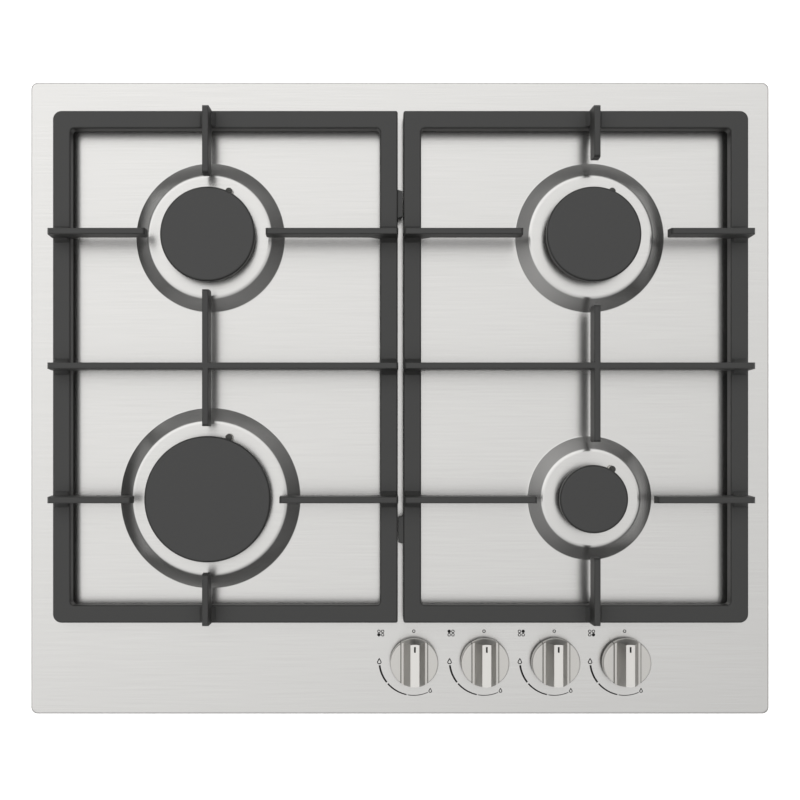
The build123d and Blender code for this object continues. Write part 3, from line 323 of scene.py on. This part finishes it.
# The flat between the domes has holes for the spindles. The top of each dome has one for the
# burner's cup and one for its spark post.
for knob_x in knob_xs:
    loop_at(bm, (knob_x, knob_y, panel_flat), spindle_hole, spindle_hole_steps)
bmesh.ops.triangle_fill(bm, use_beauty=True, edges=open_edges(bm, panel_flat), normal=(0, 0, 1))
for place in burner_places:
    centre = burner_centres[place]
    cap_radius = (cap_boxes[place][1] - cap_boxes[place][0]).x / 2
    cup_hole = cap_radius - cup_inset + cup_clearance
    ring_edges = loop_at(bm, (centre.x, centre.y, panel_high.z), cup_hole, dome_steps)
    post_rear = math.sqrt((cap_radius + post_from_cap) ** 2 - post_side**2)
    post_centre = (centre.x + post_side, centre.y + post_rear, panel_high.z)
    ring_edges |= loop_at(bm, post_centre, post_hole, post_hole_steps)
    shoulder = dome_radii[place] - dome_slope
    ring_edges |= {
        edge for edge in open_edges(bm, panel_high.z)
        if (edge.verts[0].co - centre).xy.length < shoulder
    }
    bmesh.ops.triangle_fill(bm, use_beauty=True, edges=list(ring_edges), normal=(0, 0, 1))
bmesh.ops.recalc_face_normals(bm, faces=bm.faces)
if sum(f.normal.z * f.calc_area() for f in bm.faces) < 0:
    bmesh.ops.reverse_faces(bm, faces=bm.faces)

# 304 stainless steel, brushed: the grain runs along X, so a reflection is drawn out along Y and
# stays crisp along X. The grain is drawn 0.7 mm apart and 60 mm long, coarser than the real one,
# and the sheet is a little uneven, as rolled sheet is.
grain_pitch = 0.7 * mm
grain_length = 60 * mm
grain_detail = 2.0
steel_colours = ("c2c1bf", "cccbc9")
steel_roughness = 0.24
steel_anisotropy = 0.65
buckle_size = 110 * mm
buckle_height = 0.05 * mm


def shaded(name, **constants):
    """A new material, its node tree and its shader, with constants set on the shader."""
    material = bpy.data.materials.new(name)
    material.use_nodes = True
    shader = material.node_tree.nodes["Principled BSDF"]
    for socket, value in constants.items():
        shader.inputs[socket].default_value = value
    return material, material.node_tree, shader


def mixed(tree, factor, first, second):
    """A colour that goes from the first to the second with a factor."""
    return node(tree, "Mix", {"Factor": factor, 6: first, 7: second}, data_type="RGBA").outputs[2]


stainless, tree, shader = shaded(
    "brushed_304_stainless_sheet", Metallic=1.0, Roughness=steel_roughness,
    Anisotropic=steel_anisotropy,
)
spot = node(tree, "TexCoord").outputs["Object"]
grain_scale = (1 / grain_length, 1 / grain_pitch, 1 / grain_pitch)
strands = node(tree, "Mapping", {"Vector": spot, "Scale": grain_scale}).outputs[0]
grain = node(tree, "TexNoise", {"Vector": strands, "Scale": 1.0, "Detail": grain_detail})
tint = mixed(tree, grain.outputs["Fac"], *(linear(colour) for colour in steel_colours))
tree.links.new(tint, shader.inputs["Base Color"])
wave = node(tree, "TexNoise", {"Vector": spot, "Scale": 1 / buckle_size, "Detail": 0.0})
buckle = node(
    tree, "Bump", {"Height": wave.outputs["Fac"], "Distance": buckle_height, "Strength": 1.0}
).outputs[0]
tree.links.new(buckle, shader.inputs["Normal"])
across = node(tree, "VectorMath", {0: buckle, 1: (1, 0, 0)}, operation="CROSS_PRODUCT")
tree.links.new(across.outputs["Vector"], shader.inputs["Tangent"])

panel = piece("panel_sheet", bm, stainless, "root", ["top_panel"])
thickened(panel, "sheet_thickness", sheet).use_even_offset = True
panel.modifiers.new("flat_faces", "WEIGHTED_NORMAL").keep_sharp = True


# ---------------------------------------------------------------- seal, case and its fixings
# Closed-cell foam strip lies under the panel's rim. The case below is folded from hot-dip
# galvanised sheet and is held to tabs under the panel by zinc plated screws.
foam_colours = ("161616", "232323")
foam_cell = 0.8 * mm
foam_relief = 0.12 * mm
spangle = 9.0 * mm
galvanised_colours = ("a6abae", "c9cdcf")
plated_colours = ("a3a7aa", "bcc0c2")
plated_grit = 1.2 * mm
worn_samples = 4


def surfaced(name, colours, size, roughness, relief=0.0, metallic=0.0, ior=1.5,
             pattern="TexNoise", worn=0.0):
    """A finish that varies between two colours and two roughnesses over marks of a real size."""
    material, tree, shader = shaded(name, Metallic=metallic)
    if not metallic:
        shader.inputs["IOR"].default_value = ior
    spot = node(tree, "TexCoord").outputs["Object"]
    marks = node(tree, pattern, {"Vector": spot, "Scale": 1 / size})
    level = marks.outputs["Fac" if pattern == "TexNoise" else "Color"]
    tint = mixed(tree, level, *(linear(colour) for colour in colours))
    tree.links.new(tint, shader.inputs["Base Color"])
    smooth, rough = roughness
    gloss = node(tree, "MapRange", {"Value": level, "To Min": smooth, "To Max": rough}).outputs[0]
    tree.links.new(gloss, shader.inputs["Roughness"])
    normal = {}
    if worn:
        normal = {"Normal": node(tree, "Bevel", {"Radius": worn}, samples=worn_samples).outputs[0]}
    if relief:
        bumps = {"Height": level, "Distance": relief, "Strength": 1.0, **normal}
        normal = {"Normal": node(tree, "Bump", bumps).outputs[0]}
    if normal:
        tree.links.new(normal["Normal"], shader.inputs["Normal"])
    return material


def dressed(material, *names):
    """Gives CAD pieces their finish."""
    for name in names:
        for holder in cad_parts[name].material_slots:
            holder.material = material


# Polyethylene foam, cut from a block: dull and black, with open cells that swallow light.
foam = surfaced(
    "closed_cell_polyethylene_foam", foam_colours, foam_cell, roughness=(0.85, 0.95),
    relief=foam_relief,
)
dressed(foam, "panel_seal")
# Galvanised sheet steel, dipped: frosty crystals of zinc about 9 mm wide, each with its own grey.
galvanised = surfaced(
    "hot_dip_galvanised_sheet", galvanised_colours, spangle, roughness=(0.34, 0.50),
    metallic=1.0, pattern="TexVoronoi",
)
dressed(galvanised, "bottom_case", "fixing_tabs", "rail_brackets")
# Zinc plated steel, barrel plated: a cool, slightly cloudy shine.
plated = surfaced(
    "zinc_plated_steel", plated_colours, plated_grit, roughness=(0.24, 0.36), metallic=1.0
)
dressed(plated, "case_screws", "gas_rail", "tap_grub_screws", "tap_bonnets", "cup_screws")


# ---------------------------------------------------------------- gas rail, taps and supply tubes
# Gas comes in at a brass elbow and runs along a plated steel rail. Four die-cast taps are clipped
# on the rail, each with a turned brass plug, a spring and a plated spindle, and each feeds an
# aluminium tube.
brass_colours = ("b98f48", "d2ac66")
tool_mark = 0.35 * mm
casting_colours = ("9b9b99", "b3b3b0")
casting_grit = 0.7 * mm
casting_relief = 0.03 * mm
drawn_colours = ("b4b4b2", "cbcbc9")
black_moulding_colours = ("131313", "1c1c1c")
moulding_grain = 0.5 * mm
moulding_roughness = (0.42, 0.55)
moulding_relief = 0.01 * mm
spring_weld = 0.001 * mm

# Brass, turned: warm yellow, with fine tool marks that spread its highlights.
brass = surfaced("turned_brass", brass_colours, tool_mark, roughness=(0.22, 0.34), metallic=1.0)
dressed(brass, "inlet_elbow", "gas_jets")
# Aluminium, die-cast and tumbled: pale grey and matt, with a fine grit.
cast_aluminium = surfaced(
    "die_cast_aluminium", casting_colours, casting_grit, roughness=(0.42, 0.58),
    relief=casting_relief, metallic=1.0,
)
# Aluminium tube, drawn: smoother and brighter than the castings.
drawn_aluminium = surfaced(
    "drawn_aluminium_tube", drawn_colours, tool_mark, roughness=(0.26, 0.36), metallic=1.0
)
# Polyamide, injection moulded: near black, with a fine spark-eroded grain.
black_moulding = surfaced(
    "moulded_black_polyamide", black_moulding_colours, moulding_grain, moulding_roughness,
    relief=moulding_relief,
)
dressed(black_moulding, "ignition_switches")
for place in burner_places:
    dressed(cast_aluminium, "tap_body_" + place, "burner_cup_" + place, "burner_head_" + place)
    dressed(brass, "tap_plug_" + place)
    dressed(plated, "tap_spindle_" + place)
    dressed(drawn_aluminium, "supply_tube_" + place)
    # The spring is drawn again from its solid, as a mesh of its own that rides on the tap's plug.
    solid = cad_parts["tap_spring_" + place]
    bm = bmesh.new()
    bm.from_mesh(solid.data)
    bmesh.ops.transform(bm, matrix=solid.matrix_world, verts=bm.verts)
    bmesh.ops.remove_doubles(bm, verts=bm.verts, dist=spring_weld)
    spring = piece(
        "return_spring_" + place, bm, plated, "tap_plug_" + place,
        ["tap_spring_" + place],
    )
    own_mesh(spring)


# ---------------------------------------------------------------- spark ignition
# A moulded spark generator fires four glazed ceramic posts through silicone sleeved leads. A switch
# on each tap starts it, and a terminal box at the rear takes the mains cable.
grey_moulding_colours = ("77797b", "86888a")
sleeve_colours = ("7e2a1f", "93382b")
sleeve_grain = 0.9 * mm
sheath_colours = ("1a1a1a", "242424")
glaze_colours = ("dcd7ca", "ebe7dc")
glaze_mark = 2.0 * mm
tip_colour = "4b4b49"
tip_roughness = 0.42
tip_height = 2.6 * mm


def place_in(tree):
    """The three coordinates of the place that is shaded."""
    return node(tree, "SeparateXYZ", {0: node(tree, "TexCoord").outputs["Object"]}).outputs


def source(socket):
    """The output that feeds an input."""
    return socket.links[0].from_socket


# Polyamide, injection moulded in grey.
grey_moulding = surfaced(
    "moulded_grey_polyamide", grey_moulding_colours, moulding_grain, moulding_roughness,
    relief=moulding_relief,
)
dressed(grey_moulding, "spark_generator", "terminal_box")
# Silicone rubber sleeve, extruded: brick red and softly shining.
sleeve = surfaced(
    "extruded_silicone_sleeve", sleeve_colours, sleeve_grain, roughness=(0.38, 0.50)
)
dressed(sleeve, "ignition_leads", "switch_wires")
# PVC sheath, extruded: black with a dull shine.
sheath = surfaced("extruded_pvc_sheath", sheath_colours, sleeve_grain, roughness=(0.40, 0.52))
dressed(sheath, "mains_lead")

# Glazed ceramic below, creamy and glossy. The tip above it is steel, dulled grey by the flame.
glazed = surfaced(
    "glazed_ceramic_with_steel_tip", glaze_colours, glaze_mark, roughness=(0.10, 0.16)
)
tree = glazed.node_tree
shader = tree.nodes["Principled BSDF"]
tip_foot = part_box("spark_electrodes")[1].z - tip_height
tip = calc(tree, "GREATER_THAN", place_in(tree)["Z"], tip_foot)
tint = mixed(tree, tip, source(shader.inputs["Base Color"]), linear(tip_colour))
tree.links.new(tint, shader.inputs["Base Color"])
gloss = source(shader.inputs["Roughness"])
gloss = node(tree, "MapRange", {"Value": tip, "To Min": gloss, "To Max": tip_roughness})
tree.links.new(gloss.outputs[0], shader.inputs["Roughness"])
tree.links.new(tip, shader.inputs["Metallic"])
dressed(glazed, "spark_electrodes")


# ---------------------------------------------------------------- burner caps
# Pressed steel discs that lie loose on the burner heads, finished in matt black vitreous enamel and
# fired, so their edges are soft and their faces very slightly uneven.
cap_colours = ("1e1e1d", "272726")
enamel_ior = 1.62
enamel_mark = 3.0 * mm
enamel_relief = 0.02 * mm

# Vitreous enamel, matt: a dark warm grey with a wide, weak shine.
cap_enamel = surfaced(
    "matt_black_vitreous_enamel", cap_colours, enamel_mark, roughness=(0.46, 0.54),
    relief=enamel_relief, ior=enamel_ior,
)
for place in burner_places:
    dressed(cap_enamel, "burner_cap_" + place)


# ---------------------------------------------------------------- grates
# Sand-cast iron, one casting used twice, ground and enamelled matt black. Its edges are rounded by
# the enamel, and it stands on moulded silicone feet.
iron_colours = ("1c1c1b", "282826")
sand_grain = 1.6 * mm
sand_relief = 0.06 * mm
worn_edge = 0.9 * mm
rubber_colours = ("121212", "1b1b1b")

# Enamelled cast iron: dark grey, with the grain of the sand still felt under the enamel.
cast_iron = surfaced(
    "enamelled_cast_iron", iron_colours, sand_grain, roughness=(0.48, 0.60), relief=sand_relief,
    ior=enamel_ior, worn=worn_edge,
)
# Silicone rubber, moulded: black and dull.
rubber = surfaced(
    "moulded_silicone_rubber", rubber_colours, moulding_grain, roughness=(0.60, 0.72)
)
for side in ("left", "right"):
    dressed(cast_iron, "grate_" + side)
    dressed(rubber, "grate_feet_" + side)


# ---------------------------------------------------------------- knobs
# Die-cast zinc, blasted and satin plated. Each has a raised blade to grip, with a blackened groove
# in its rear end that points at the marks.
knob_colours = ("bfbdb9", "cbc9c5")
# The colour of the painted highlight on the blade's top.
blade_top_highlight_colour = "dad8d4"
blade_top_depth = 0.5 * mm
satin_grit = 0.6 * mm
line_colour = "141414"
line_width = 1.36 * mm
line_length = 4.5 * mm
line_from_rear = 6.4 * mm
line_depth = 0.25 * mm
line_tolerance = 0.02 * mm
# The colour of the painted shade in the crease at the blade's foot.
crease_shade_colour = "55534f"
crease_shade_width = 0.7 * mm
foot_half = 10.7 * mm
foot_drop = 12.0 * mm
knob_rear = knob_boxes[0][1].y
knob_top = knob_boxes[0][1].z
knob_step = knob_xs[1] - knob_xs[0]

# Satin nickel plate on zinc: a soft, even shine, with a painted highlight on the blade's top.
# The line is a groove with a black oxide finish. Painted shade darkens the crease where the blade's
# foot meets the disc.
satin = surfaced(
    "satin_nickel_plate", knob_colours, satin_grit, roughness=(0.38, 0.44), metallic=1.0
)
tree = satin.node_tree
shader = tree.nodes["Principled BSDF"]
spot = place_in(tree)
# The knobs stand one step apart, so the distance from the middle of the nearest one is wrapped.
across = calc(tree, "WRAP", spot["X"], knob_xs[0] + knob_step / 2, knob_xs[0] - knob_step / 2)
across = calc(tree, "ABSOLUTE", calc(tree, "SUBTRACT", across, knob_xs[0]))
# Painted shade: a dark band where the blade's foot meets the disc.
at_foot = calc(tree, "COMPARE", across, foot_half, crease_shade_width / 2)
near_disc = calc(tree, "LESS_THAN", spot["Z"], knob_top - foot_drop)
painted_crease_shade = calc(tree, "MULTIPLY", at_foot, near_disc)
# Painted highlight: the blade's top is painted lighter than the rest of the plate.
painted_highlight = calc(tree, "GREATER_THAN", spot["Z"], knob_top - blade_top_depth)
narrow = calc(tree, "LESS_THAN", across, line_width / 2)
along = calc(tree, "COMPARE", spot["Y"], knob_rear - line_from_rear, line_length / 2)
deep = calc(tree, "COMPARE", spot["Z"], knob_top - line_depth, line_depth + line_tolerance)
blackened = calc(tree, "MULTIPLY", calc(tree, "MULTIPLY", narrow, along), deep)
tint = mixed(tree, painted_crease_shade, source(shader.inputs["Base Color"]), linear(crease_shade_colour))
tint = mixed(tree, painted_highlight, tint, linear(blade_top_highlight_colour))
tint = mixed(tree, blackened, tint, linear(line_colour))
tree.links.new(tint, shader.inputs["Base Color"])
for place in burner_places:
    dressed(satin, "knob_" + place)


# ---------------------------------------------------------------- marks beside the knobs
# Screen printed on the panel in black ink: a ring for off, a plan of the four burners with its own
# filled in, a large and a small flame, and between them an arc in three steps that gets thinner.
ink_lift = 0.06 * mm
ink_level = panel_flat + ink_lift
ink_thickness = 0.05 * mm
ink_weld = 0.002 * mm
mark_steps = 24
ring_radius = 1.05 * mm
ring_line = 0.60 * mm
off_rear = 24.0 * mm
plan_centre = (-26.6 * mm, 22.5 * mm)
plan_pitch = (3.0 * mm, 2.75 * mm)
plan_filled = ((-1, -1), (-1, 1), (1, 1), (1, -1))
# Each flame: its place from the knob, its radius, how far its tip reaches, and its line.
flames = ((-27.8 * mm, -0.8 * mm, 1.85 * mm, 3.1 * mm, 0.75 * mm),
          (13.3 * mm, -24.2 * mm, 1.45 * mm, 2.4 * mm, 0.62 * mm))
flame_steps = 32
flame_pinch = 0.45
arc_radius = 27.75 * mm
# Each part of the arc: where it starts and ends in degrees, and its line there.
arc_parts = ((187.2, 218.2, 1.55 * mm, 1.40 * mm), (221.3, 257.8, 1.25 * mm, 0.95 * mm),
             (260.1, 294.1, 0.65 * mm, 0.55 * mm))
ink_colours = ("0c0c0b", "141413")
ink_mark = 0.8 * mm
ink_ior = 1.3


def band_at(bm, x, y, radius, lines, start=0.0, end=360.0):
    """A printed line round a centre, between two angles in degrees, with a width at each end."""
    pairs = []
    for step in range(mark_steps + 1):
        share = step / mark_steps
        turn = math.radians(start + (end - start) * share)
        line = lines[0] + (lines[1] - lines[0]) * share
        pairs.append([
            bm.verts.new((x + r * math.cos(turn), y + r * math.sin(turn), ink_level))
            for r in (radius - line / 2, radius + line / 2)
        ])
    for (inner, outer), (next_inner, next_outer) in zip(pairs, pairs[1:]):
        bm.faces.new((inner, outer, next_outer, next_inner))


def disc_at(bm, x, y, radius, steps):
    """A printed disc. Its corners are returned."""
    return bmesh.ops.create_circle(
        bm, cap_ends=True, segments=steps, radius=radius,
        matrix=Matrix.Translation((x, y, ink_level)),
    )["verts"]


def flame_at(bm, x, y, radius, tip, line):
    """A printed drop with its tip to the rear, drawn as an outline."""
    corners = disc_at(bm, x, y, radius, flame_steps)
    for vert in corners:
        rear = max(0.0, (vert.co.y - y) / radius)
        vert.co.x = x + (vert.co.x - x) * (1 - flame_pinch * rear)
        vert.co.y += (tip - radius) * rear**2
    face = corners[0].link_faces[0]
    face.normal_update()
    bmesh.ops.inset_region(
        bm, faces=[face], thickness=line, use_boundary=True, use_even_offset=False
    )
    bmesh.ops.delete(bm, geom=[face], context="FACES_ONLY")


bm = bmesh.new()
for knob_x, filled in zip(knob_xs, plan_filled):
    band_at(bm, knob_x, knob_y + off_rear, ring_radius, (ring_line, ring_line))
    for column in (-1, 1):
        for row in (-1, 1):
            x = knob_x + plan_centre[0] + column * plan_pitch[0] / 2
            y = knob_y + plan_centre[1] + row * plan_pitch[1] / 2
            band_at(bm, x, y, ring_radius, (ring_line, ring_line))
            if (column, row) == filled:
                disc_at(bm, x, y, ring_radius - ring_line / 2, mark_steps)
    for x, y, radius, tip, line in flames:
        flame_at(bm, knob_x + x, knob_y + y, radius, tip, line)
    for start, end, *lines in arc_parts:
        band_at(bm, knob_x, knob_y, arc_radius, lines, start, end)
bmesh.ops.remove_doubles(bm, verts=bm.verts, dist=ink_weld)
for face in bm.faces:
    face.normal_update()
    if face.normal.z < 0:
        face.normal_flip()

# Two-part screen ink, baked: dense, dark and flat. Its rough skin shines less than its resin would.
ink = surfaced(
    "baked_screen_ink", ink_colours, ink_mark, roughness=(0.50, 0.60), ior=ink_ior
)
marks = piece("printed_marks", bm, ink, "root")
thickened(marks, "ink_thickness", ink_thickness)
